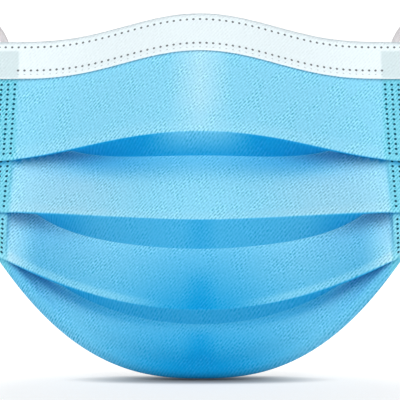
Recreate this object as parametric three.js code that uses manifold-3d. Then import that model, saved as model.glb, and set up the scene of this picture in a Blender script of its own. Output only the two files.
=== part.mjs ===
// A pleated disposable face mask, opened out as it is worn: one pleated sheet, a folded band over its top
// edge, and an elastic ear loop at each side whose flattened ends are welded inside the corners.
// Millimetres. X runs from side to side, +Y points back to the wearer's face, +Z is up.
// The origin is where the inside of the nose band sits on the bridge of the nose.
import * as THREE from 'three';
import { mergeVertices } from 'three/addons/utils/BufferGeometryUtils.js';
import Module from 'manifold-3d';

const wasm = await Module();
wasm.setup();

// Driving sizes
const TOP_WIDTH = 161; // between the top corners
const LOW_WIDTH = 172; // between the side ends of the third fold
const OPEN_HEIGHT = 142.1; // top edge to chin, in the middle
const SIDE_HEIGHT = 78.8; // top corner to the side end of the third fold
const NOSE_RISE = 11.8; // the middle of the top edge above its corners
const BRIDGE_DROP = 6.8; // bridge of the nose below the middle of the top edge
const BULGE = 21; // the furthest fold ahead of the bridge of the nose
const WRAP = 11; // the top corners behind the middle of the top edge
const SIDE_LEAN = 6; // degrees by which the side edges lean forward, going down
const MARGIN = 9.5; // width of the welded strip along each side edge
const PLEAT_DEPTH = 12; // how far a pleat is folded back
const WALL = 1.2; // thickness of the pleated sheet
const GAP = 0.35; // clearance between layers that lie on each other
const BAND_HEIGHT = 12.6; // how far the nose band reaches down, outside and inside
const BAND_WALL = 1.1;
const CHIN_ROLL = 8; // radius on which the sheet turns under the chin, in the middle
const CORNER_ROLL = 3; // the same at the side edges
const CHIN_HEM = 5.5; // how far the hem reaches back from the roll, in the middle
const CORNER_HEM = 5; // the same at the side edges
const HEM_RISE = 1; // how far the hem rises behind the roll
const LOOP_DIAMETER = 3;
const LOOP_REACH = 52; // how far a loop stands behind its welded ends
const LOOP_FLARE = 12; // how far it swings outward of them
const PAD_WALL = 1.2; // thickness of a flattened loop end
const PAD_LENGTH = 7;
const PAD_WIDTH = 4;

// Colours and finish
const BLUE = { color: 0x8fd3f2, roughness: 0.75, metalness: 0 };
const WHITE = { color: 0xf2f7f9, roughness: 0.8, metalness: 0 };
const ELASTIC = { color: 0xf1eef0, roughness: 0.85, metalness: 0 };

const MOUNTAIN = -1; // the sheet turns back, toward the face
const VALLEY = 1; // the sheet turns forward again
const FOLD_RADIUS = (WALL + GAP) / 2; // of the sheet's middle line in a closed fold
const SOFT_FOLD = 2.2; // the same in the last valley, where the sheet only bends
const LAYER = 2 * FOLD_RADIUS; // spacing of two layers in a closed pleat
const WELD_START = 1 - MARGIN / (TOP_WIDTH / 2); // share of the half width where the weld begins
const CORNER_Z = BRIDGE_DROP - NOSE_RISE;

// The three pleats, from the top down.
// side: height of the fold below the top corner, as a share of SIDE_HEIGHT
// middle: height of the fold below the top edge, as a share of OPEN_HEIGHT
// heightPower: how soon the fold leaves its side height, a high power only near the middle
// forward: how far the fold stands ahead in the middle, as a share of BULGE
// forwardPower: the same as heightPower, for the bulge
// depth: as a share of PLEAT_DEPTH
// openAngle: degrees between the fold's underside and straight down, in the middle
// openPower: how soon the pleat opens beside the weld, a low power at once
// width: how far its side ends stand out, from 0 at TOP_WIDTH to 1 at LOW_WIDTH
const PLEATS = [
  { side: 0.567, middle: 0.305, heightPower: 2.1, forward: 0.8, forwardPower: 1.6, depth: 1,
    openAngle: 38, openPower: 0.65, width: 0.28 },
  { side: 0.824, middle: 0.542, heightPower: 18, forward: 1, forwardPower: 1.4, depth: 1.08,
    openAngle: 28, openPower: 0.36, width: 0.8 },
  { side: 1, middle: 0.789, heightPower: 0.95, forward: 0.72, forwardPower: 1.2, depth: 0.8,
    openAngle: 50, openPower: 0.45, width: 1 },
];
const TOP_EDGE = { heightPower: 4.2, forwardPower: 2.2 };
const CHIN = { side: 0.954, bend: 2.5, forward: -0.35, forwardPower: 1.1, width: 0.9 };
const PANEL_BOW = [0, 1, 1.6, 1.5]; // how far each panel swells in the middle, from the top down

// The route of an ear loop between its two welded ends.
// down: share of the way from the upper end to the lower one
// back and out: shares of LOOP_REACH and LOOP_FLARE, from the upper end
const LOOP_ROUTE = [
  { down: -0.16, back: 0.04, out: 0.1 },
  { down: -0.25, back: 0.16, out: 0.35 },
  { down: -0.28, back: 0.42, out: 0.75 },
  { down: -0.17, back: 0.72, out: 0.95 },
  { down: 0.04, back: 0.94, out: 1 },
  { down: 0.32, back: 1, out: 1 },
  { down: 0.6, back: 0.93, out: 1 },
  { down: 0.77, back: 0.7, out: 1 },
  { down: 0.77, back: 0.42, out: 0.9 },
  { down: 0.74, back: 0.16, out: 0.65 },
  { down: 0.82, back: 0.04, out: 0.42 },
];
const UPPER_WELD = { across: 0.93, stretch: 0, share: 0.15, cover: WALL / 2 + GAP + BAND_WALL };
const LOWER_WELD = { across: 0.93, stretch: 4, share: 0.21, cover: WALL / 2 };

const radians = THREE.MathUtils.degToRad;
const mix = THREE.MathUtils.lerp;

// A curve across the mask that is 0 at the side edges and 1 in the middle.
function swell(across, power, bend = 2) {
  return Math.max(0, 1 - Math.abs(across) ** bend) ** power;
}

// Half the width of the mask, from 0 at the top corners to 1 at the third fold.
function halfWidth(share) {
  return mix(TOP_WIDTH, LOW_WIDTH, share) / 2;
}

// Place between the welds, 0 in the middle and 1 from the start of the weld to the side edge.
function inward(across) {
  return Math.min(1, Math.abs(across) / WELD_START);
}

// How far ahead the sheet stands in the welds, at a height and behind a number of closed pleats.
function weldForward(z, pleatsAbove) {
  return (CORNER_Z - z) * Math.tan(radians(SIDE_LEAN)) - WRAP - 2 * pleatsAbove * LAYER;
}

// A section's own axes: f forward and z up.
function topEdge(across) {
  const z = CORNER_Z + NOSE_RISE * swell(across, TOP_EDGE.heightPower);
  return {
    f: mix(weldForward(z, 0), 0, swell(inward(across), TOP_EDGE.forwardPower)),
    z,
    turn: 0,
    radius: 0,
    half: halfWidth(0),
  };
}

// The mountain fold of a pleat and the valley behind it.
function pleatFolds(across, pleat, row) {
  const sideZ = CORNER_Z - pleat.side * SIDE_HEIGHT;
  const middleZ = BRIDGE_DROP - pleat.middle * OPEN_HEIGHT;
  const half = halfWidth(pleat.width);
  const z = mix(sideZ, middleZ, swell(across, pleat.heightPower)) + FOLD_RADIUS + WALL / 2;
  const ahead = swell(inward(across), pleat.forwardPower);
  const mountain = {
    f: mix(weldForward(z, row), pleat.forward * BULGE, ahead) - FOLD_RADIUS,
    z,
    turn: MOUNTAIN,
    radius: FOLD_RADIUS,
    half,
  };
  const open = swell(inward(across), pleat.openPower);
  const angle = radians(mix(180 - SIDE_LEAN, pleat.openAngle, open));
  const radius = row === PLEATS.length - 1 ? mix(FOLD_RADIUS, SOFT_FOLD, open) : FOLD_RADIUS;
  const apart = FOLD_RADIUS + radius;
  const depth = pleat.depth * PLEAT_DEPTH;
  const valley = {
    f: mountain.f - depth * Math.sin(angle) + apart * Math.cos(angle),
    z: mountain.z - depth * Math.cos(angle) - apart * Math.sin(angle),
    turn: VALLEY,
    radius,
    half,
  };
  return [mountain, valley];
}

// The roll under the chin and the hem behind it.
function chinAndHem(across) {
  const radius = mix(CORNER_ROLL, CHIN_ROLL, swell(across, 1));
  const sideZ = CORNER_Z - CHIN.side * SIDE_HEIGHT;
  const middleZ = BRIDGE_DROP - OPEN_HEIGHT;
  const z = mix(sideZ, middleZ, swell(across, 1, CHIN.bend)) + radius + WALL / 2;
  const sideF = weldForward(z, PLEATS.length) - radius;
  const roll = {
    f: mix(sideF, CHIN.forward * BULGE, swell(inward(across), CHIN.forwardPower)),
    z,
    turn: MOUNTAIN,
    radius,
    half: halfWidth(CHIN.width),
  };
  const hem = {
    f: roll.f - mix(CORNER_HEM, CHIN_HEM, swell(across, 1)),
    z: roll.z - radius + HEM_RISE,
    turn: 0,
    radius: 0,
    half: roll.half,
  };
  return [roll, hem];
}

// Heading of the straight stretch that leaves one fold and meets the next one.
function headingBetween(from, to) {
  const df = to.f - from.f;
  const dz = to.z - from.z;
  const lift = to.turn * to.radius - from.turn * from.radius;
  return Math.atan2(dz, df) - Math.asin(lift / Math.hypot(df, dz));
}

// The point of a fold where the sheet has that heading.
function pointOn(fold, heading) {
  const reach = fold.turn * fold.radius;
  return {
    f: fold.f + reach * Math.sin(heading),
    z: fold.z - reach * Math.cos(heading),
    half: fold.half,
    heading,
  };
}

// All folds of one section, with the headings of the stretches between them.
function sectionAt(across) {
  const pleats = PLEATS.flatMap((pleat, row) => pleatFolds(across, pleat, row));
  const folds = [topEdge(across), ...pleats, ...chinAndHem(across)];
  const headings = folds.slice(1).map((fold, i) => headingBetween(folds[i], fold));
  return { across, folds, headings };
}

// A point on a straight stretch at a share of its length, bowed forward by some millimetres.
function pointAlong(section, stretch, share, bow = 0) {
  const heading = section.headings[stretch];
  const a = pointOn(section.folds[stretch], heading);
  const b = pointOn(section.folds[stretch + 1], heading);
  const length = Math.hypot(b.f - a.f, b.z - a.z);
  const out = bow * Math.sin(Math.PI * share) ** 2;
  return {
    f: mix(a.f, b.f, share) - out * Math.sin(heading),
    z: mix(a.z, b.z, share) + out * Math.cos(heading),
    half: mix(a.half, b.half, share),
    heading: heading + Math.atan((bow * Math.PI * Math.sin(2 * Math.PI * share)) / length),
  };
}

// The middle line of the sheet in one section, from the top edge to the hem.
function sheetLine(across) {
  const section = sectionAt(across);
  const { folds, headings } = section;
  const line = [pointAlong(section, 0, 0)];
  folds.slice(1).forEach((fold, i) => {
    const isPanel = i % 2 === 0 && i / 2 < PANEL_BOW.length;
    const steps = isPanel ? 4 : 2;
    const bow = isPanel ? PANEL_BOW[i / 2] * swell(inward(across), 1) : 0;
    for (let step = 1; step < steps; step++) line.push(pointAlong(section, i, step / steps, bow));
    if (fold.turn === 0) {
      line.push(pointAlong(section, i, 1));
      return;
    }
    const bend = THREE.MathUtils.euclideanModulo(fold.turn * (headings[i + 1] - headings[i]), 2 * Math.PI);
    const arcSteps = i === folds.length - 3 ? 7 : 3;
    for (let step = 0; step <= arcSteps; step++) {
      line.push(pointOn(fold, headings[i] + (fold.turn * bend * step) / arcSteps));
    }
  });
  return line;
}

// The line of the nose band: up inside the sheet, over its top edge and down in front of it.
function bandLine(across) {
  const section = sectionAt(across);
  const length = section.folds[0].z - section.folds[1].z;
  const reach = BAND_HEIGHT / length;
  const away = WALL / 2 + GAP + BAND_WALL / 2;
  const inside = [1, 0.5].map((share) => shifted(pointAlong(section, 0, reach * share), -away, Math.PI));
  const top = pointAlong(section, 0, 0);
  const over = [0, 1, 2, 3, 4].map((step) => {
    const turn = (Math.PI * step) / 4;
    const heading = top.heading + Math.PI - turn;
    return { ...top, f: top.f - away * Math.sin(heading), z: top.z + away * Math.cos(heading), heading };
  });
  const outside = [0.5, 1].map((share) => shifted(pointAlong(section, 0, reach * share), away, 0));
  return [...inside, ...over, ...outside];
}

// A point moved off the sheet, forward where the distance is positive.
function shifted(point, distance, turned = 0) {
  return {
    ...point,
    f: point.f - distance * Math.sin(point.heading),
    z: point.z + distance * Math.cos(point.heading),
    heading: point.heading + turned,
  };
}

function place(across, point) {
  return new THREE.Vector3(across * point.half, -point.f, point.z);
}

// Places across the mask where sections are taken, closest together beside the welds.
function columns() {
  const between = 14;
  const half = [1, (1 + WELD_START) / 2];
  for (let k = between; k > 0; k--) half.push(WELD_START * Math.sin((Math.PI / 2) * (k / between)));
  return [...half.map((across) => -across), 0, ...half.reverse()];
}

// A closed shell of one thickness about a line that is drawn in every section.
function shell(lineAt, wall) {
  const rings = columns().map((across) => {
    const line = lineAt(across);
    const front = line.map((point) => place(across, shifted(point, wall / 2)));
    const back = line.map((point) => place(across, shifted(point, -wall / 2)));
    return [...front, ...back.reverse()];
  });
  const count = rings[0].length;
  const triangles = [];
  const quad = (a, b, c, d) => triangles.push(a, b, c, a, c, d);
  for (let ring = 0; ring < rings.length - 1; ring++) {
    for (let k = 0; k < count; k++) {
      const next = (k + 1) % count;
      quad(ring * count + k, ring * count + next, (ring + 1) * count + next, (ring + 1) * count + k);
    }
  }
  const last = (rings.length - 1) * count;
  for (let k = 0; k < count / 2 - 1; k++) {
    const across = count - 1 - k;
    quad(k, across, across - 1, k + 1);
    quad(last + k, last + k + 1, last + across - 1, last + across);
  }
  const geometry = new THREE.BufferGeometry().setFromPoints(rings.flat());
  geometry.setIndex(triangles);
  return geometry;
}

// The place of a loop's flattened end on the inside of the mask: x outward, y away from the face, z up.
function weldFrame(weld) {
  const at = (across, share) => place(across, pointAlong(sectionAt(across), weld.stretch, share));
  const centre = at(weld.across, weld.share);
  const up = at(weld.across, weld.share - 0.02).sub(centre).normalize();
  const outward = at(weld.across + 0.01, weld.share).sub(centre);
  const forward = new THREE.Vector3().crossVectors(up, outward).normalize().negate();
  const sideways = new THREE.Vector3().crossVectors(forward, up).normalize();
  if (forward.y > 0) forward.negate();
  if (sideways.x < 0) sideways.negate();
  const depth = weld.cover + GAP + PAD_WALL / 2;
  return { centre: centre.addScaledVector(forward, -depth), up, forward, sideways };
}

// A closed geometry as a solid for joining.
function solid(geometry) {
  geometry.deleteAttribute('normal');
  geometry.deleteAttribute('uv');
  const merged = mergeVertices(geometry, 1e-4);
  const vertProperties = new Float32Array(merged.attributes.position.array);
  const triVerts = new Uint32Array(merged.index.array);
  return new wasm.Manifold(new wasm.Mesh({ numProp: 3, vertProperties, triVerts }));
}

function geometryOf(joined) {
  const mesh = joined.getMesh();
  const geometry = new THREE.BufferGeometry();
  geometry.setAttribute('position', new THREE.BufferAttribute(new Float32Array(mesh.vertProperties), 3));
  geometry.setIndex(new THREE.BufferAttribute(new Uint32Array(mesh.triVerts), 1));
  return geometry;
}

function weldPad(frame) {
  const pad = new THREE.BoxGeometry(PAD_WIDTH, PAD_WALL, PAD_LENGTH);
  const axes = new THREE.Matrix4().makeBasis(frame.sideways, frame.forward.clone().negate(), frame.up);
  return pad.applyMatrix4(axes.setPosition(frame.centre));
}

// The right ear loop: a round cord between two flattened ends.
function earLoop() {
  const upper = weldFrame(UPPER_WELD);
  const lower = weldFrame(LOWER_WELD);
  const lift = (LOOP_DIAMETER - PAD_WALL) / 2;
  const onPad = (frame, share) =>
    frame.centre.clone().addScaledVector(frame.up, share * PAD_LENGTH).addScaledVector(frame.forward, -lift);
  const span = upper.centre.z - lower.centre.z;
  const free = LOOP_ROUTE.map(({ down, back, out }) => new THREE.Vector3(
    upper.centre.x + out * LOOP_FLARE,
    upper.centre.y + back * LOOP_REACH + lift,
    upper.centre.z - down * span,
  ));
  const route = new THREE.CatmullRomCurve3([
    onPad(upper, -0.25), onPad(upper, 0.45), ...free, onPad(lower, 0.55), onPad(lower, -0.25),
  ]);
  const ring = new THREE.Shape();
  for (let side = 0; side < 8; side++) {
    const angle = (Math.PI * (side + 0.5)) / 4;
    const point = [LOOP_DIAMETER / 2 * Math.cos(angle), LOOP_DIAMETER / 2 * Math.sin(angle)];
    if (side === 0) ring.moveTo(...point);
    else ring.lineTo(...point);
  }
  const cord = new THREE.ExtrudeGeometry(ring, { steps: 44, extrudePath: route, curveSegments: 1 });
  const joined = solid(cord).add(solid(weldPad(upper))).add(solid(weldPad(lower)));
  return geometryOf(joined);
}

function mirrored(geometry) {
  const copy = geometry.clone().scale(-1, 1, 1);
  const index = copy.index.array;
  for (let i = 0; i < index.length; i += 3) [index[i], index[i + 1]] = [index[i + 1], index[i]];
  return copy;
}

function part(name, geometry, finish) {
  const mesh = new THREE.Mesh(geometry, new THREE.MeshStandardMaterial(finish));
  mesh.name = name;
  return mesh;
}

// How far the inside of the band is behind the section's own zero, at the bridge of the nose.
function bridgeDepth() {
  const section = sectionAt(0);
  const top = pointAlong(section, 0, 0);
  const inside = (WALL / 2 + GAP + BAND_WALL) / Math.sin(-top.heading);
  return -(top.f + BRIDGE_DROP / Math.tan(-top.heading) - inside);
}

const mask = new THREE.Group();
const rightLoop = earLoop();
mask.add(
  part('pleated_body', shell(sheetLine, WALL), BLUE),
  part('nose_band', shell(bandLine, BAND_WALL), WHITE),
  part('ear_loop_right', rightLoop, ELASTIC),
  part('ear_loop_left', mirrored(rightLoop), ELASTIC),
);
mask.position.y = -bridgeDepth();

export default mask;
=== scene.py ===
# The pleated face mask as it looks: fabric, weld dots, elastic loops, floor and light.
# The mask's lengths are millimetres and become metres where a mesh is made. The floor, the lights
# and the camera are in metres.
import math

import bpy
import numpy as np
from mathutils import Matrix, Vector


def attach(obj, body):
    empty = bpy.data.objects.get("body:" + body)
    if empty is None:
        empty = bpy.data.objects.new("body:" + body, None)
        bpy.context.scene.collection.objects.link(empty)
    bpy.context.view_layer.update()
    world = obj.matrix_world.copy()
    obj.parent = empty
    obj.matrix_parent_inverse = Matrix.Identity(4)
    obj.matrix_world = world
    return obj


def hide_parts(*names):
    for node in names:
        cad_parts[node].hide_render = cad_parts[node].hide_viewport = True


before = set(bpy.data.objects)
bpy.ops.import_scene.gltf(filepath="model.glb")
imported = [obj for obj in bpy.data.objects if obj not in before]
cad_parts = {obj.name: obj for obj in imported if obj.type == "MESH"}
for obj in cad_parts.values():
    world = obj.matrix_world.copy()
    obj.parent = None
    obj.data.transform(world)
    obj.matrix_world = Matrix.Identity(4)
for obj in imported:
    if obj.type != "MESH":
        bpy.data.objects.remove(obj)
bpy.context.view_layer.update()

MM = 0.001

# Driving sizes, as in the part's source
TOP_WIDTH = 161
LOW_WIDTH = 172
OPEN_HEIGHT = 142.1
SIDE_HEIGHT = 78.8
NOSE_RISE = 11.8
BRIDGE_DROP = 6.8
BULGE = 21
WRAP = 11
SIDE_LEAN = 6
MARGIN = 9.5
PLEAT_DEPTH = 12
WALL = 1.2
GAP = 0.35
BAND_HEIGHT = 12.6
BAND_WALL = 1.1
CHIN_ROLL = 8
CORNER_ROLL = 3
CHIN_HEM = 5.5
CORNER_HEM = 5
HEM_RISE = 1
LOOP_DIAMETER = 3
LOOP_REACH = 52
LOOP_FLARE = 12
PAD_WALL = 1.2
PAD_LENGTH = 7
PAD_WIDTH = 4

# The stretches of cloth from the top edge down
PANEL_1, UNDER_1, PANEL_2, UNDER_2, PANEL_3, UNDER_3, PANEL_4, HEM = range(8)

MOUNTAIN = -1
VALLEY = 1
FOLD_RADIUS = (WALL + GAP) / 2
SOFT_FOLD = 2.2
LAYER = 2 * FOLD_RADIUS
WELD_START = 1 - MARGIN / (TOP_WIDTH / 2)
CORNER_Z = BRIDGE_DROP - NOSE_RISE
BAND_AWAY = WALL / 2 + GAP + BAND_WALL / 2

PLEATS = [
    dict(side=0.567, middle=0.305, height_power=2.1, forward=0.8, forward_power=1.6, depth=1,
         open_angle=38, open_power=0.65, width=0.28),
    dict(side=0.824, middle=0.542, height_power=18, forward=1, forward_power=1.4, depth=1.08,
         open_angle=28, open_power=0.36, width=0.8),
    dict(side=1, middle=0.789, height_power=0.95, forward=0.72, forward_power=1.2, depth=0.8,
         open_angle=50, open_power=0.45, width=1),
]
TOP_EDGE = dict(height_power=4.2, forward_power=2.2)
CHIN = dict(side=0.954, bend=2.5, forward=-0.35, forward_power=1.1, width=0.9)
PANEL_BOW = [0, 1, 1.6, 1.5]
LOOP_ROUTE = [
    {"down": -0.16, "back": 0.04, "out": 0.1},
    {"down": -0.25, "back": 0.16, "out": 0.35},
    {"down": -0.28, "back": 0.42, "out": 0.75},
    {"down": -0.17, "back": 0.72, "out": 0.95},
    {"down": 0.04, "back": 0.94, "out": 1},
    {"down": 0.32, "back": 1, "out": 1},
    {"down": 0.6, "back": 0.93, "out": 1},
    {"down": 0.77, "back": 0.7, "out": 1},
    {"down": 0.77, "back": 0.42, "out": 0.9},
    {"down": 0.74, "back": 0.16, "out": 0.65},
    {"down": 0.82, "back": 0.04, "out": 0.42},
]
UPPER_WELD = dict(across=0.93, stretch=PANEL_1, share=0.15, cover=WALL / 2 + GAP + BAND_WALL)
LOWER_WELD = dict(across=0.93, stretch=PANEL_3, share=0.21, cover=WALL / 2)


def mix(a, b, share):
    return a + (b - a) * share


def swell(across, power, bend=2):
    return max(0.0, 1 - abs(across) ** bend) ** power


def inward(across):
    return min(1.0, abs(across) / WELD_START)


def smooth(low, high, value):
    share = min(1.0, max(0.0, (value - low) / (high - low)))
    return share * share * (3 - 2 * share)


# The section of the sheet: folds, the stretches between them, and points along it
def half_width(share):
    return mix(TOP_WIDTH, LOW_WIDTH, share) / 2


def weld_forward(z, pleats_above):
    return (CORNER_Z - z) * math.tan(math.radians(SIDE_LEAN)) - WRAP - 2 * pleats_above * LAYER


def fold(f, z, turn, radius, half):
    return dict(f=f, z=z, turn=turn, radius=radius, half=half)


def top_edge(across):
    z = CORNER_Z + NOSE_RISE * swell(across, TOP_EDGE["height_power"])
    f = mix(weld_forward(z, 0), 0, swell(inward(across), TOP_EDGE["forward_power"]))
    return fold(f, z, 0, 0, half_width(0))


def pleat_folds(across, pleat, row):
    side_z = CORNER_Z - pleat["side"] * SIDE_HEIGHT
    middle_z = BRIDGE_DROP - pleat["middle"] * OPEN_HEIGHT
    half = half_width(pleat["width"])
    z = mix(side_z, middle_z, swell(across, pleat["height_power"])) + FOLD_RADIUS + WALL / 2
    ahead = swell(inward(across), pleat["forward_power"])
    f = mix(weld_forward(z, row), pleat["forward"] * BULGE, ahead) - FOLD_RADIUS
    mountain = fold(f, z, MOUNTAIN, FOLD_RADIUS, half)
    opened = swell(inward(across), pleat["open_power"])
    angle = math.radians(mix(180 - SIDE_LEAN, pleat["open_angle"], opened))
    radius = mix(FOLD_RADIUS, SOFT_FOLD, opened) if row == len(PLEATS) - 1 else FOLD_RADIUS
    apart = FOLD_RADIUS + radius
    depth = pleat["depth"] * PLEAT_DEPTH
    valley = fold(
        f - depth * math.sin(angle) + apart * math.cos(angle),
        z - depth * math.cos(angle) - apart * math.sin(angle),
        VALLEY, radius, half)
    return [mountain, valley]


def chin_and_hem(across):
    radius = mix(CORNER_ROLL, CHIN_ROLL, swell(across, 1))
    side_z = CORNER_Z - CHIN["side"] * SIDE_HEIGHT
    middle_z = BRIDGE_DROP - OPEN_HEIGHT
    z = mix(side_z, middle_z, swell(across, 1, CHIN["bend"])) + radius + WALL / 2
    side_f = weld_forward(z, len(PLEATS)) - radius
    f = mix(side_f, CHIN["forward"] * BULGE, swell(inward(across), CHIN["forward_power"]))
    roll = fold(f, z, MOUNTAIN, radius, half_width(CHIN["width"]))
    back = mix(CORNER_HEM, CHIN_HEM, swell(across, 1))
    return [roll, fold(f - back, z - radius + HEM_RISE, 0, 0, roll["half"])]


def heading_between(a, b):
    df = b["f"] - a["f"]
    dz = b["z"] - a["z"]
    lift = b["turn"] * b["radius"] - a["turn"] * a["radius"]
    return math.atan2(dz, df) - math.asin(lift / math.hypot(df, dz))


def point_on(at, heading):
    reach = at["turn"] * at["radius"]
    return dict(f=at["f"] + reach * math.sin(heading), z=at["z"] - reach * math.cos(heading),
                half=at["half"], heading=heading)


def section_at(across):
    folds = [top_edge(across)]
    for row, pleat in enumerate(PLEATS):
        folds += pleat_folds(across, pleat, row)
    folds += chin_and_hem(across)
    headings = [heading_between(a, b) for a, b in zip(folds, folds[1:])]
    return dict(folds=folds, headings=headings)


def point_along(section, stretch, share, bow=0):
    heading = section["headings"][stretch]
    a = point_on(section["folds"][stretch], heading)
    b = point_on(section["folds"][stretch + 1], heading)
    length = math.hypot(b["f"] - a["f"], b["z"] - a["z"])
    out = bow * math.sin(math.pi * share) ** 2
    tilt = math.atan(bow * math.pi * math.sin(2 * math.pi * share) / length)
    return dict(f=mix(a["f"], b["f"], share) - out * math.sin(heading),
                z=mix(a["z"], b["z"], share) + out * math.cos(heading),
                half=mix(a["half"], b["half"], share), heading=heading + tilt)


def panel_bow(stretch, across):
    if stretch % 2 or stretch // 2 >= len(PANEL_BOW):
        return 0
    return PANEL_BOW[stretch // 2] * swell(inward(across), 1)


# One section's middle line. Each point also carries its stretch, with half numbers on the folds.
PANEL_STEPS = 16
UNDER_STEPS = 8
FOLD_STEPS = 6
ROLL_STEPS = 12


def sheet_line(across):
    section = section_at(across)
    folds = section["folds"]
    headings = section["headings"]
    line = [dict(point_along(section, PANEL_1, 0), stretch=PANEL_1, share=0)]
    for i, at in enumerate(folds[1:]):
        steps = PANEL_STEPS if i % 2 == 0 else UNDER_STEPS
        bow = panel_bow(i, across)
        last = steps + 1 if at["turn"] == 0 else steps
        for step in range(1, last):
            share = step / steps
            line.append(dict(point_along(section, i, share, bow), stretch=i, share=share))
        if at["turn"] == 0:
            return line
        bend = (at["turn"] * (headings[i + 1] - headings[i])) % (2 * math.pi)
        arc_steps = ROLL_STEPS if i == len(folds) - 3 else FOLD_STEPS
        for step in range(arc_steps + 1):
            point = point_on(at, headings[i] + at["turn"] * bend * step / arc_steps)
            line.append(dict(point, stretch=i + 0.5, share=step / arc_steps))


def shifted(point, distance, turned=0):
    return dict(point, f=point["f"] - distance * math.sin(point["heading"]),
                z=point["z"] + distance * math.cos(point["heading"]),
                heading=point["heading"] + turned)


BAND_ROWS = 36
BAND_TURNS = 8


def band_reach(section):
    """The band's height as a share of the first panel."""
    return BAND_HEIGHT / (section["folds"][0]["z"] - section["folds"][1]["z"])


def band_line(across):
    """The band's middle line: up the inside, over the top edge and down the front."""
    section = section_at(across)
    reach = band_reach(section)
    shares = [reach * (1 - k / BAND_ROWS) for k in range(BAND_ROWS)]
    line = [shifted(point_along(section, PANEL_1, share), -BAND_AWAY, math.pi) for share in shares]
    top = point_along(section, PANEL_1, 0)
    for step in range(BAND_TURNS + 1):
        heading = top["heading"] + math.pi - math.pi * step / BAND_TURNS
        line.append(dict(top, f=top["f"] - BAND_AWAY * math.sin(heading),
                         z=top["z"] + BAND_AWAY * math.cos(heading), heading=heading))
    line += [shifted(point_along(section, PANEL_1, share), BAND_AWAY) for share in reversed(shares)]
    return line


def bridge_depth():
    """How far the sheet's top edge lies before the place where the band sits on the nose."""
    top = point_along(section_at(0), PANEL_1, 0)
    inside = (WALL / 2 + GAP + BAND_WALL) / math.sin(-top["heading"])
    return -(top["f"] + BRIDGE_DROP / math.tan(-top["heading"]) - inside)


FORWARD = bridge_depth()


def place(across, point):
    return Vector((across * point["half"], -point["f"] - FORWARD, point["z"]))


# Meshes
def piece(name, points, faces, material, uvs=None, marks=None):
    mesh = bpy.data.meshes.new(name)
    mesh.from_pydata([tuple(p * MM) for p in points], [], faces)
    if uvs is not None:
        layer = mesh.uv_layers.new(name="cloth")
        loops = np.empty(len(mesh.loops), dtype=np.int32)
        mesh.loops.foreach_get("vertex_index", loops)
        layer.data.foreach_set("uv", np.asarray(uvs, dtype=np.float32)[loops].ravel())
    for mark, values in (marks or {}).items():
        layer = mesh.attributes.new(mark, "FLOAT", "POINT")
        layer.data.foreach_set("value", np.asarray(values, dtype=np.float32))
    mesh.materials.append(material)
    mesh.polygons.foreach_set("use_smooth", [True] * len(mesh.polygons))
    obj = bpy.data.objects.new(name, mesh)
    bpy.context.collection.objects.link(obj)
    return obj


EDGE_COLUMNS = 8
EDGE_STEP = 0.015
SHEET_COLUMNS = 130
BAND_COLUMNS = 140


def columns(between):
    """Places across the mask: even ones over the side welds, closer ones toward them."""
    half = [1 - EDGE_STEP * k for k in range(EDGE_COLUMNS)]
    half += [WELD_START * math.sin(math.pi / 2 * k / between) for k in range(between, 0, -1)]
    return [-a for a in half] + [0.0] + half[::-1]


def ring_shell(lines, wall):
    """Front points, back points and faces of a shell about one line for each column."""
    count = len(lines[0][1])
    front = []
    back = []
    for across, line in lines:
        front += [place(across, shifted(p, wall / 2)) for p in line]
        back += [place(across, shifted(p, -wall / 2)) for p in line]
    rings = len(lines)
    size = rings * count
    faces = []
    for r in range(rings - 1):
        for k in range(count - 1):
            a = r * count + k
            b = a + count
            faces.append((a, a + 1, b + 1, b))
            faces.append((size + a, size + b, size + b + 1, size + a + 1))
        a = r * count
        b = a + count
        faces.append((a, b, size + b, size + a))
        a += count - 1
        b += count - 1
        faces.append((a, size + a, size + b, b))
    last = (rings - 1) * count
    for k in range(count - 1):
        faces.append((k, size + k, size + k + 1, k + 1))
        faces.append((last + k, last + k + 1, size + last + k + 1, size + last + k))
    return front, back, faces


# Materials
def new_material(name, color, roughness, sheen=0.0, specular=0.3):
    material = bpy.data.materials.new(name)
    material.use_nodes = True
    shader = material.node_tree.nodes["Principled BSDF"]
    shader.inputs["Base Color"].default_value = (*color, 1)
    shader.inputs["Roughness"].default_value = roughness
    shader.inputs["Specular IOR Level"].default_value = specular
    shader.inputs["Sheen Weight"].default_value = sheen
    shader.inputs["Sheen Roughness"].default_value = 0.5
    return material


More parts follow.
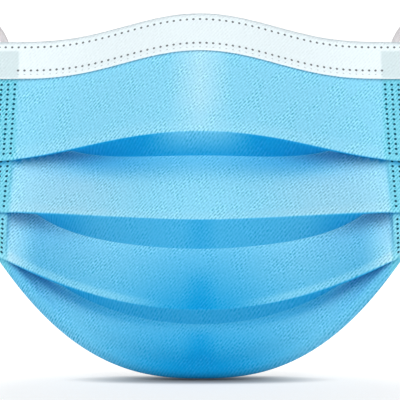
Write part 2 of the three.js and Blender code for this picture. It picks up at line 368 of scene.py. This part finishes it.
class Nodes:
    """Short calls for wiring a material."""

    def __init__(self, material):
        self.tree = material.node_tree
        self.shader = self.tree.nodes["Principled BSDF"]

    def link(self, source, target):
        self.tree.links.new(source, target)

    def put(self, value, socket):
        if isinstance(value, bpy.types.NodeSocket):
            self.link(value, socket)
        else:
            socket.default_value = value

    def math(self, operation, a, b=0.0):
        node = self.tree.nodes.new("ShaderNodeMath")
        node.operation = operation
        self.put(a, node.inputs[0])
        self.put(b, node.inputs[1])
        return node.outputs[0]

    def fade(self, value, low, high, at_low=1.0, at_high=0.0):
        node = self.tree.nodes.new("ShaderNodeMapRange")
        node.interpolation_type = "SMOOTHSTEP"
        ends = {"From Min": low, "From Max": high, "To Min": at_low, "To Max": at_high}
        for name, number in ends.items():
            node.inputs[name].default_value = number
        self.put(value, node.inputs["Value"])
        return node.outputs["Result"]

    def blend(self, share, a, b, kind="MIX"):
        node = self.tree.nodes.new("ShaderNodeMix")
        node.data_type = "RGBA"
        node.blend_type = kind
        self.put(share, node.inputs["Factor"])
        self.put(a, node.inputs["A"])
        self.put(b, node.inputs["B"])
        return node.outputs["Result"]

    def attribute(self, name):
        node = self.tree.nodes.new("ShaderNodeAttribute")
        node.attribute_name = name
        return node.outputs["Fac"]

    def split(self, vector):
        node = self.tree.nodes.new("ShaderNodeSeparateXYZ")
        self.link(vector, node.inputs[0])
        return node.outputs["X"], node.outputs["Y"]

    def uv(self):
        node = self.tree.nodes.new("ShaderNodeUVMap")
        node.uv_map = "cloth"
        return node.outputs["UV"]

    def position(self):
        return self.tree.nodes.new("ShaderNodeNewGeometry").outputs["Position"]

    def noise(self, vector, scale, detail):
        node = self.tree.nodes.new("ShaderNodeTexNoise")
        node.inputs["Scale"].default_value = scale
        node.inputs["Detail"].default_value = detail
        self.link(vector, node.inputs["Vector"])
        return node.outputs["Fac"]

    def bump(self, height, distance):
        node = self.tree.nodes.new("ShaderNodeBump")
        node.inputs["Distance"].default_value = distance
        self.link(height, node.inputs["Height"])
        self.link(node.outputs["Normal"], self.shader.inputs["Normal"])


# The bond pattern: rows of dashes at a slope, the next row set on by a share of a step
DASH_ANGLE = math.radians(50)
DASH_ROWS = 1.02
DASH_STEP = 2.3
DASH_OFFSET = 0.37
DASH_GAP = 0.5
FIBRE_SCALE = 1.1
FIBRE_SHARE = 2.2
PATCH_SCALE = 0.16
DEEPEST_SHADE = 1.4
CLOTH_ROUGH = 0.6
EMBOSS = 0.00005


def bond_dashes(nodes, u, v):
    """1 on the middle of a dash and 0 between the rows."""
    cos = math.cos(DASH_ANGLE)
    sin = math.sin(DASH_ANGLE)
    along = nodes.math("SUBTRACT", nodes.math("MULTIPLY", u, cos), nodes.math("MULTIPLY", v, sin))
    aside = nodes.math("ADD", nodes.math("MULTIPLY", u, sin), nodes.math("MULTIPLY", v, cos))
    rows = nodes.math("DIVIDE", aside, DASH_ROWS)
    steps = nodes.math("DIVIDE", along, DASH_STEP)
    offset = nodes.math("MULTIPLY", nodes.math("FLOOR", rows), DASH_OFFSET)
    in_row = nodes.math("ABSOLUTE", nodes.math("SUBTRACT", nodes.math("FRACT", rows), 0.5))
    in_step = nodes.math("FRACT", nodes.math("ADD", steps, offset))
    in_step = nodes.math("ABSOLUTE", nodes.math("SUBTRACT", in_step, 0.5))
    line = nodes.fade(in_row, 0.08, 0.42)
    return nodes.math("MULTIPLY", line, nodes.fade(in_step, 0.24, 0.46, 1.0, DASH_GAP))


# The lit colour is the cloth in light; the two darker colours after it are shaded copies of it, painted
# shade for the folds, and the paler colour before it is a painted highlight for ridges.
def nonwoven(name, highlight_colour, lit, half_shaded, deep, welded, grain, gloss):
    """Spunbond cloth: slanted rows of small bond dashes, cloudy fibres, painted shade inside the folds
    and a painted highlight on ridges.
    """
    material = new_material(name, lit, CLOTH_ROUGH, specular=gloss)
    nodes = Nodes(material)
    uv = nodes.uv()
    dash = bond_dashes(nodes, *nodes.split(uv))
    fibres = nodes.noise(uv, FIBRE_SCALE, 4)
    shade = nodes.attribute("fold_shade")

    strength = nodes.fade(nodes.noise(uv, PATCH_SCALE, 2), 0.35, 0.65, 0.5 * grain, 1.2 * grain)
    strength = nodes.math("MULTIPLY", strength, nodes.fade(shade, 0.2, 0.9, 1.0, 0.5))
    cloudy = nodes.math("MULTIPLY", nodes.math("SUBTRACT", fibres, 0.5), FIBRE_SHARE)
    uneven = nodes.math("ADD", nodes.math("SUBTRACT", 0.38, dash), cloudy)
    light = nodes.math("ADD", 1.0, nodes.math("MULTIPLY", uneven, strength))

    # Painted shade: the fold_shade mark blends the lit colour into its shaded copies, deeper in the
    # folds.
    inside = nodes.math("MINIMUM", nodes.math("MAXIMUM", shade, 0.0), DEEPEST_SHADE)
    near = nodes.blend(inside, (*lit, 1), (*half_shaded, 1))
    far = nodes.blend(inside, (*half_shaded, 1), (*deep, 1))
    tint = nodes.blend(inside, near, far)
    # Painted highlight: where the mark is below 0 the colour blends toward the paler one.
    ridge = nodes.math("MAXIMUM", nodes.math("MULTIPLY", shade, -1.0), 0.0)
    tint = nodes.blend(ridge, tint, (*highlight_colour, 1))
    tint = nodes.blend(nodes.attribute("weld"), tint, (*welded, 1))
    tint = nodes.blend(1.0, tint, light, "MULTIPLY")
    haze_share = nodes.fade(shade, 0.0, 0.6, 0.7, 0.28)
    haze = nodes.math("MULTIPLY", nodes.math("SUBTRACT", light, 1.0), haze_share)
    nodes.link(nodes.blend(1.0, tint, haze, "ADD"), nodes.shader.inputs["Base Color"])
    nodes.link(nodes.fade(shade, 0.0, 0.9, CLOTH_ROUGH, 1.0), nodes.shader.inputs["Roughness"])
    nodes.bump(nodes.math("SUBTRACT", nodes.math("MULTIPLY", fibres, 0.4), dash), EMBOSS)
    return material


# Each cloth: a paler colour for painted highlights, its lit colour, two darker copies for painted shade
# in the folds, and the weld margins' own colour.
outer = nonwoven("outer_fabric", highlight_colour=(0.54, 0.81, 0.92), lit=(0.235, 0.63, 0.84),
                 half_shaded=(0.035, 0.4, 0.69), deep=(0.0, 0.29, 0.64),
                 welded=(0.15, 0.58, 0.72), grain=0.18, gloss=0.12)
inner = nonwoven("inner_fabric", highlight_colour=(0.9, 0.92, 0.93), lit=(0.84, 0.88, 0.9),
                 half_shaded=(0.8, 0.86, 0.9), deep=(0.7, 0.8, 0.86),
                 welded=(0.76, 0.84, 0.86), grain=0.06, gloss=0.2)
white = nonwoven("band_fabric", highlight_colour=(0.88, 0.92, 0.94), lit=(0.81, 0.9, 0.93),
                 half_shaded=(0.62, 0.68, 0.69), deep=(0.36, 0.4, 0.38),
                 welded=(0.6, 0.71, 0.73), grain=0.04, gloss=0.3)
elastic = new_material("elastic", (0.8, 0.76, 0.77), 0.85, sheen=0.3)

# The pleated sheet. The visible cloth is thinner than the source's wall, about the same line.
LOOK_WALL = 0.7
DEPTH_SHARE = 0.3
WELD_STRENGTH = 0.75


def cloth_uvs(lines):
    """Places on the cloth in millimetres, sideways and down; the grain keeps its slope over the folds."""
    return [(across * point["half"], DEPTH_SHARE * point["f"] - point["z"])
            for across, line in lines for point in line]


def painted_fold_shade(out, stretch, share, above, below):
    """Painted shade in the folds: 0 on a panel, 1 under a pleat, below 0 a painted highlight on a ridge.

    out is the distance from the middle as a share of the half width, above and below are the
    lengths of cloth in millimetres to the ends of this stretch."""
    # A painted highlight along the fold edge at the lower end of a stretch.
    rim = 1 - smooth(0, 1.8, below)
    # Painted shade down the middle crease.
    crease_shade = 1 - smooth(0, 0.1, out)
    if stretch == PANEL_1:
        # Painted highlight down the middle of the first panel, on the nose ridge.
        nose_highlight = max(0, 1 - out / 0.15) * (1 - 0.6 * smooth(0.7, 1, share))
        return -0.5 * nose_highlight - 0.08 * rim
    # Undersides of the pleats: painted shade.
    if stretch == UNDER_1:
        near = 1 - smooth(0.05, 0.4, out)
        return mix(mix(1.35, 0.35, near), mix(0.95, 0.85, near), share)
    if stretch == PANEL_2:
        # Painted shadow at the top of the panel under the pleat above, and a painted highlight toward the
        # sides lower down.
        shadow = mix(0.34, 0.5, smooth(0, 0.4, out)) * (1 - smooth(0.45, 0.85, out))
        side_highlight = smooth(0.2, 0.6, out) * (1 - smooth(0.85, 0.95, out)) * smooth(0.2, 0.6, share)
        return shadow * (1 - smooth(0, 11, above)) - 0.3 * side_highlight - 0.08 * rim
    if stretch == UNDER_2:
        return 0.6 + 0.12 * crease_shade + 0.22 * smooth(0.45, 0.65, out)
    if stretch == PANEL_3:
        # Painted shade in the middle; near the side welds the cloth is painted lighter, a painted
        # highlight against the fold's shadow.
        middle = 1 - smooth(0, 0.5, out)
        inner_part = 1 - smooth(0.72, 0.92, out)
        tint = inner_part * (0.1 + 0.32 * share) - 0.5 * (1 - inner_part)
        tint += middle * (0.25 + 0.2 * share) + 0.14 * crease_shade * smooth(0.25, 0.6, share)
        return tint - 0.3 * rim * smooth(0.1, 0.4, out)
    if stretch == UNDER_3:
        return 0.76 + 0.2 * smooth(0.3, 0.7, out)
    # Painted shade in the middle of the lower panel and hem, which face down.
    middle = 1 - smooth(0, 0.6, out)
    if stretch == PANEL_4:
        shadow = 0.6 * (1 - smooth(0, 6, above)) * (1 - 0.6 * smooth(0.5, 0.8, out))
        return max(shadow, 0.3 + middle * (0.24 + 0.5 * share) + 0.16 * crease_shade * smooth(0, 0.3, share))
    return 0.34 + 0.55 * middle


def pleat_edge_shadow(across, line):
    """Painted shadow: 1 at points in the dark line just under a pleat's edge, toward the sides, and 0
    elsewhere.
    """
    edges = {stretch: min(point["z"] for point in line if int(point["stretch"]) == stretch - 2)
             for stretch in (PANEL_2, PANEL_3, PANEL_4)}
    sideways = smooth(0.4, 0.7, abs(across))

    def darkness(point):
        if point["stretch"] not in edges:
            return 0
        drop = edges[point["stretch"]] - point["z"]
        soft = 0.25 if point["stretch"] == PANEL_2 else 0.1
        return sideways * max(1 - smooth(1.1, 2.3, drop), soft * (1 - smooth(1.5, 5, drop)))
    return [darkness(point) for point in line]


def distances(line):
    """How far down the cloth each point of a line lies."""
    down = [0]
    for a, b in zip(line, line[1:]):
        down.append(down[-1] + math.hypot(b["f"] - a["f"], b["z"] - a["z"]))
    return down


def fold_shades(across, line):
    """The painted shade of each point of one line; round a fold it goes over from one stretch to the
    next.
    """
    out = abs(across)
    down = distances(line)
    limits = {}
    for point, here in zip(line, down):
        start, _ = limits.get(point["stretch"], (here, here))
        limits[point["stretch"]] = (start, here)
    far = down[-1]
    shades = []
    for point, here in zip(line, down):
        stretch = point["stretch"]
        if stretch == int(stretch):
            start, end = limits[stretch]
            shades.append(painted_fold_shade(out, stretch, point["share"], here - start, end - here))
        else:
            before = painted_fold_shade(out, int(stretch), 1, far, 0)
            after = painted_fold_shade(out, int(stretch) + 1, 0, 0, far)
            shades.append(mix(before, after, smooth(0.15, 0.7, point["share"])))
    return shades


lines = [(across, sheet_line(across)) for across in columns(SHEET_COLUMNS)]
front, back, faces = ring_shell(lines, LOOK_WALL)
chin_point = min(front, key=lambda point: point.z) * MM
shades = []
welds = []
for across, line in lines:
    welded = WELD_STRENGTH * smooth(WELD_START - 0.02, WELD_START + 0.005, abs(across))
    # Painted shadow under the pleat edges: it darkens the painted shade there and hides the weld colour.
    for shade, dark in zip(fold_shades(across, line), pleat_edge_shadow(across, line)):
        shades.append(mix(shade, max(shade, 1.0), dark))
        welds.append(welded * (1 - dark))
body = piece("mask_sheet", front + back, faces, outer, cloth_uvs(lines) * 2,
             {"fold_shade": shades * 2, "weld": welds * 2})
body.data.materials.append(inner)
for face in body.data.polygons:
    if all(v >= len(front) for v in face.vertices):
        face.material_index = 1
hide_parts("pleated_body")
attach(body, "root")


# The folded band
def band_tone_and_shade(across, share):
    """A little duller between the dot rows, and a thin brownish line of painted shadow along the sides of
    the lower edge.
    """
    between = 0.08 * smooth(0.12, 0.2, share) * (1 - smooth(0.8, 0.9, share))
    return between + 1.2 * smooth(0.965, 0.985, share) * smooth(0.5, 0.7, abs(across))


def band_weld(across, share):
    """The side welds show through the band as greyer ends."""
    height = smooth(0.2, 0.24, share) * (1 - smooth(0.93, 0.96, share))
    return 0.9 * smooth(0.865, 0.88, abs(across)) * height


band_lines = [(across, band_line(across)) for across in columns(BAND_COLUMNS)]
front, back, faces = ring_shell(band_lines, LOOK_WALL)
shades = []
welds = []
for across, line in band_lines:
    high = max(point["z"] for point in line)
    low = min(point["z"] for point in line)
    downs = [(high - point["z"]) / (high - low) for point in line]
    shades += [band_tone_and_shade(across, down) for down in downs]
    welds += [band_weld(across, down) for down in downs]
band = piece("folded_band", front + back, faces, white, cloth_uvs(band_lines) * 2,
             {"fold_shade": shades * 2, "weld": welds * 2})
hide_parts("nose_band")
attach(band, "root")

# Weld dots
DOT_SIDES = 8
DOT_LIFT = 0.05
DOT_CROWN = 0.07
BESIDE = 0.004


def dot(points, faces, centre, right, up, out, wide, tall):
    """One flattened dot on the cloth."""
    start = len(points)
    points.append(centre + out * (DOT_LIFT + DOT_CROWN))
    for k in range(DOT_SIDES):
        angle = 2 * math.pi * k / DOT_SIDES
        rim = right * (wide / 2 * math.cos(angle)) + up * (tall / 2 * math.sin(angle))
        points.append(centre + rim + out * DOT_LIFT)
    for k in range(DOT_SIDES):
        faces.append((start, start + 1 + k, start + 1 + (k + 1) % DOT_SIDES))


def surface_frame(at, across, share):
    """Centre, right, up and outward directions of the cloth's front at a place."""
    centre = at(across, share)
    right = (at(across + BESIDE, share) - at(across - BESIDE, share)).normalized()
    up = (at(across, share - BESIDE) - at(across, share + BESIDE)).normalized()
    out = right.cross(up).normalized()
    if out.y > 0:
        out = -out
    return centre, right, up, out


def band_front(across, drop):
    """A point on the front of the band, a share of its height below the top edge."""
    section = section_at(across)
    point = point_along(section, PANEL_1, drop * band_reach(section))
    return place(across, shifted(point, BAND_AWAY + LOOK_WALL / 2))


BAND_PITCH = 2.515
SIDE_RISE = 0.055


def band_dots(name, material, drop, wide, tall, reach=1.0):
    """A row of dots along the band, drop of its height down and a little higher toward its ends."""
    points = []
    faces = []
    half = TOP_WIDTH / 2
    count = int(half * reach // BAND_PITCH)
    for k in range(-count, count + 1):
        across = k * BAND_PITCH / half
        rise = SIDE_RISE * smooth(0.5, 0.95, abs(across))
        dot(points, faces, *surface_frame(band_front, across, drop - rise), wide, tall)
    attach(piece(name, points, faces, material), "root")


def sheet_front(stretch):
    """Gives a point on the front of one stretch, for surface_frame."""
    def at(across, share):
        section = section_at(across)
        point = point_along(section, stretch, share, panel_bow(stretch, across))
        return place(across, shifted(point, LOOK_WALL / 2))
    return at


# Where the side welds show: the panel, the share of it between the fold above and its lower edge,
# and how much further from the side edge the columns stand at both ends
WELD_PANELS = [
    dict(stretch=PANEL_1, start=0.32, end=0.985, inset_start=0.65, inset_end=-0.4),
    dict(stretch=PANEL_2, start=0.385, end=0.985, inset_start=-0.4, inset_end=-0.6),
    dict(stretch=PANEL_3, start=0.51, end=0.985, inset_start=-0.6, inset_end=-0.6),
]
WELD_COLUMNS = [8.4, 5.8, 3.2]
WELD_PITCH = 1.93
WELD_DOT = (1.1, 0.95)


def side_welds(material):
    points = []
    faces = []
    half = TOP_WIDTH / 2
    for panel in WELD_PANELS:
        at = sheet_front(panel["stretch"])
        for inset in WELD_COLUMNS:
            across = 1 - inset / half
            length = (at(across, 1) - at(across, 0)).length
            count = round(length * (panel["end"] - panel["start"]) / WELD_PITCH)
            for k in range(count):
                share = mix(panel["start"], panel["end"], (k + 0.5) / count)
                further = mix(panel["inset_start"], panel["inset_end"], (k + 0.5) / count)
                across = 1 - (inset + further) / half
                for side in (-1, 1):
                    dot(points, faces, *surface_frame(at, side * across, share), *WELD_DOT)
    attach(piece("side_weld_dots", points, faces, material), "root")


weld_blue = new_material("weld_dots", (0.0, 0.07, 0.12), CLOTH_ROUGH, specular=0.1)
weld_grey = new_material("band_dots", (0.15, 0.17, 0.18), CLOTH_ROUGH, specular=0.1)
weld_faint = new_material("faint_dots", (0.5, 0.56, 0.6), CLOTH_ROUGH)
band_dots("band_dots_upper", weld_grey, drop=0.08, wide=1.0, tall=0.85)
band_dots("band_dots_lower", weld_grey, drop=0.79, wide=1.0, tall=0.85, reach=0.9)
band_dots("band_dots_faint", weld_faint, drop=0.91, wide=0.8, tall=0.4, reach=0.9)
side_welds(weld_blue)


# Ear loops
ROUTE_STEPS = 16
LOOP_SIDES = 16
PAD_SIDES = 20
PAD_RINGS = ((-0.5, 0.8), (-0.2, 1), (0.2, 1), (0.5, 0.75))
UP_STEP = 0.02
SIDE_STEP = 0.01


def weld_frame(weld):
    """Where a loop's end is welded inside a corner, and the directions there."""
    def at(across, share):
        return place(across, point_along(section_at(across), weld["stretch"], share))
    centre = at(weld["across"], weld["share"])
    up = (at(weld["across"], weld["share"] - UP_STEP) - centre).normalized()
    outward = at(weld["across"] + SIDE_STEP, weld["share"]) - centre
    forward = up.cross(outward).normalized()
    if forward.y > 0:
        forward = -forward
    sideways = forward.cross(up).normalized()
    if sideways.x < 0:
        sideways = -sideways
    depth = weld["cover"] + GAP + PAD_WALL / 2
    return dict(centre=centre - forward * depth, up=up, forward=forward, sideways=sideways)


def smooth_route(knots):
    """A centripetal spline through the knots."""
    first = knots[0] * 2 - knots[1]
    last = knots[-1] * 2 - knots[-2]
    every = [first, *knots, last]
    out = []
    for i in range(1, len(every) - 2):
        p0, p1, p2, p3 = every[i - 1:i + 3]
        t0 = 0
        t1 = t0 + math.sqrt((p1 - p0).length)
        t2 = t1 + math.sqrt((p2 - p1).length)
        t3 = t2 + math.sqrt((p3 - p2).length)
        for k in range(ROUTE_STEPS):
            t = mix(t1, t2, k / ROUTE_STEPS)
            a1 = p0 * ((t1 - t) / (t1 - t0)) + p1 * ((t - t0) / (t1 - t0))
            a2 = p1 * ((t2 - t) / (t2 - t1)) + p2 * ((t - t1) / (t2 - t1))
            a3 = p2 * ((t3 - t) / (t3 - t2)) + p3 * ((t - t2) / (t3 - t2))
            b1 = a1 * ((t2 - t) / (t2 - t0)) + a2 * ((t - t0) / (t2 - t0))
            b2 = a2 * ((t3 - t) / (t3 - t1)) + a3 * ((t - t1) / (t3 - t1))
            out.append(b1 * ((t2 - t) / (t2 - t1)) + b2 * ((t - t1) / (t2 - t1)))
    out.append(knots[-1])
    return out


def loop_route():
    """The right loop's middle line from the upper weld to the lower one, and both welds."""
    upper = weld_frame(UPPER_WELD)
    lower = weld_frame(LOWER_WELD)
    lift = (LOOP_DIAMETER - PAD_WALL) / 2

    def on_pad(at, share):
        return at["centre"] + at["up"] * (share * PAD_LENGTH) - at["forward"] * lift

    span = upper["centre"].z - lower["centre"].z
    free = [
        Vector((upper["centre"].x + row["out"] * LOOP_FLARE,
                upper["centre"].y + row["back"] * LOOP_REACH + lift,
                upper["centre"].z - row["down"] * span))
        for row in LOOP_ROUTE
    ]
    ends = [on_pad(upper, -0.25), on_pad(upper, 0.45)]
    tail = [on_pad(lower, 0.55), on_pad(lower, -0.25)]
    return smooth_route(ends + free + tail), [upper, lower]


def mirror(point, side):
    return Vector((point.x * side, point.y, point.z))


def tube(name, route, radius, material):
    points = []
    uvs = []
    faces = []
    side = Vector((1, 0, 0))
    travelled = 0.0
    for i, centre in enumerate(route):
        ahead = route[min(i + 1, len(route) - 1)] - route[max(i - 1, 0)]
        ahead.normalize()
        side = (side - ahead * side.dot(ahead)).normalized()
        other = ahead.cross(side)
        if i:
            travelled += (centre - route[i - 1]).length
        for k in range(LOOP_SIDES):
            angle = 2 * math.pi * k / LOOP_SIDES
            points.append(centre + side * (radius * math.cos(angle)) + other * (radius * math.sin(angle)))
            uvs.append((k / LOOP_SIDES, travelled))
    for i in range(len(route) - 1):
        for k in range(LOOP_SIDES):
            a = i * LOOP_SIDES + k
            b = i * LOOP_SIDES + (k + 1) % LOOP_SIDES
            faces.append((a, b, b + LOOP_SIDES, a + LOOP_SIDES))
    faces.append(tuple(range(LOOP_SIDES))[::-1])
    faces.append(tuple(range(len(points) - LOOP_SIDES, len(points))))
    return piece(name, points, faces, material, uvs)


def pad(name, at, side, material):
    """A flattened and welded end of a loop, with softened corners."""
    points = []
    for deep, shrink in PAD_RINGS:
        for k in range(PAD_SIDES):
            angle = 2 * math.pi * (k + 0.5) / PAD_SIDES
            squircle = (abs(math.cos(angle)) ** 4 + abs(math.sin(angle)) ** 4) ** -0.25
            x = squircle * math.cos(angle) * PAD_WIDTH / 2 * shrink
            z = squircle * math.sin(angle) * PAD_LENGTH / 2 * (1 - (1 - shrink) * 0.5)
            point = at["centre"] + at["sideways"] * x + at["up"] * z - at["forward"] * (deep * PAD_WALL)
            points.append(mirror(point, side))
    faces = []
    for ring in range(len(PAD_RINGS) - 1):
        for k in range(PAD_SIDES):
            a = ring * PAD_SIDES + k
            b = ring * PAD_SIDES + (k + 1) % PAD_SIDES
            faces.append((a, b, b + PAD_SIDES, a + PAD_SIDES)[::side])
    faces.append(tuple(range(PAD_SIDES))[::-side])
    faces.append(tuple(range(len(points) - PAD_SIDES, len(points)))[::side])
    obj = piece(name, points, faces, material)
    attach(obj, "root")
    return obj


route, weld_frames = loop_route()
for side, word in ((1, "right"), (-1, "left")):
    path = [mirror(point, side) for point in route]
    pads = [pad(f"loop_end_{place_word}_{word}", at, side, elastic)
            for place_word, at in zip(("upper", "lower"), weld_frames)]
    cord = tube(f"elastic_{word}", path, LOOP_DIAMETER / 2, elastic)
    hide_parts(f"ear_loop_{word}")
    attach(cord, "root")

# Floor, backdrop and light
FLOOR_Z = -0.1356
STAGE = 3
FLOOR_GREY = (0.4, 0.395, 0.39)
WALL_GREY = (0.8, 0.8, 0.8)
# Partly painted shadow on the floor: under the chin its own light is dimmed, so the real shadows show
# there, and a dark contact shadow is painted close to the chin. Half sizes of each ellipse,
# how far before the chin its middle lies, the light left there, and where it starts and stops
FLOOR_SHADOW_DIPS = [
    dict(wide=0.125, deep=0.07, forward=0.03, low=0.66, inner_edge=0.3, outer_edge=1.0),
    dict(wide=0.05, deep=0.011, forward=0, low=0.03, inner_edge=0.0, outer_edge=1.3),
]
# The floor's own light grows between these two y, so the floor before the mask is dimmer
FRONT_FADE = dict(low=-0.2, high=-0.09, at_low=0.6, at_high=1.0)


def emitting(name, diffuse):
    """White that lights itself, and shows shadows as far as its diffuse share does."""
    material = new_material(name, diffuse, 1.0, specular=0)
    shader = material.node_tree.nodes["Principled BSDF"]
    shader.inputs["Emission Color"].default_value = (1, 1, 1, 1)
    shader.inputs["Emission Strength"].default_value = 1.0
    return material


def floor_shadow_dip(nodes, x, y, dip):
    x = nodes.math("DIVIDE", x, dip["wide"])
    y = nodes.math("DIVIDE", nodes.math("SUBTRACT", y, chin_point.y - dip["forward"]), dip["deep"])
    away = nodes.math("ADD", nodes.math("MULTIPLY", x, x), nodes.math("MULTIPLY", y, y))
    return nodes.fade(away, dip["inner_edge"], dip["outer_edge"], dip["low"], 1.0)


def floor_material():
    material = emitting("floor_white", FLOOR_GREY)
    nodes = Nodes(material)
    x, y = nodes.split(nodes.position())
    glow = nodes.fade(y, **FRONT_FADE)
    # Painted shadow: the floor's glow is dimmed under the chin, darkest at the contact.
    for dip in FLOOR_SHADOW_DIPS:
        glow = nodes.math("MULTIPLY", glow, floor_shadow_dip(nodes, x, y, dip))
    nodes.link(glow, nodes.shader.inputs["Emission Strength"])
    return material


def plane(name, corners, material):
    mesh = bpy.data.meshes.new(name)
    mesh.from_pydata(corners, [], [(0, 1, 2, 3)])
    mesh.materials.append(material)
    obj = bpy.data.objects.new(name, mesh)
    bpy.context.collection.objects.link(obj)


plane("floor", [(-STAGE, -STAGE, FLOOR_Z), (STAGE, -STAGE, FLOOR_Z),
                (STAGE, STAGE, FLOOR_Z), (-STAGE, STAGE, FLOOR_Z)], floor_material())
plane("backdrop", [(-STAGE, STAGE, FLOOR_Z), (STAGE, STAGE, FLOOR_Z),
                   (STAGE, STAGE, STAGE), (-STAGE, STAGE, STAGE)], emitting("wall_white", WALL_GREY))


def area(name, place_at, aim_at, wide, tall, watts):
    data = bpy.data.lights.new(name, "AREA")
    data.shape = "RECTANGLE"
    data.size = wide
    data.size_y = tall
    data.energy = watts
    obj = bpy.data.objects.new(name, data)
    bpy.context.collection.objects.link(obj)
    obj.location = place_at
    obj.rotation_euler = (Vector(aim_at) - Vector(place_at)).to_track_quat("-Z", "Y").to_euler()


area("key", (0, -0.8, 0.46), (0, 0, -0.06), 0.8, 0.5, 5.9)
area("fill_left", (-0.8, -0.7, 0.1), (0, 0, -0.07), 0.5, 0.6, 1.0)
area("fill_right", (0.8, -0.7, 0.1), (0, 0, -0.07), 0.5, 0.6, 1.0)

world = bpy.data.worlds.new("world")
world.use_nodes = True
background = world.node_tree.nodes["Background"]
background.inputs["Color"].default_value = (0.9, 0.96, 1, 1)
background.inputs["Strength"].default_value = 0.2
bpy.context.scene.world = world
bpy.context.scene.view_settings.view_transform = "Standard"

# Camera
DISTANCE = 1.2
ELEVATION = math.radians(6.5)
AIM = Vector((0, -0.008, -0.0628))
VIEW_WIDTH = 0.154
SENSOR = 36

camera_data = bpy.data.cameras.new("camera")
camera_data.sensor_width = SENSOR
camera_data.lens = SENSOR * DISTANCE / VIEW_WIDTH
camera_data.clip_end = 20
camera = bpy.data.objects.new("camera", camera_data)
bpy.context.collection.objects.link(camera)
camera.location = AIM + DISTANCE * Vector((0, -math.cos(ELEVATION), math.sin(ELEVATION)))
camera.rotation_euler = (math.pi / 2 - ELEVATION, 0, 0)
bpy.context.scene.camera = camera
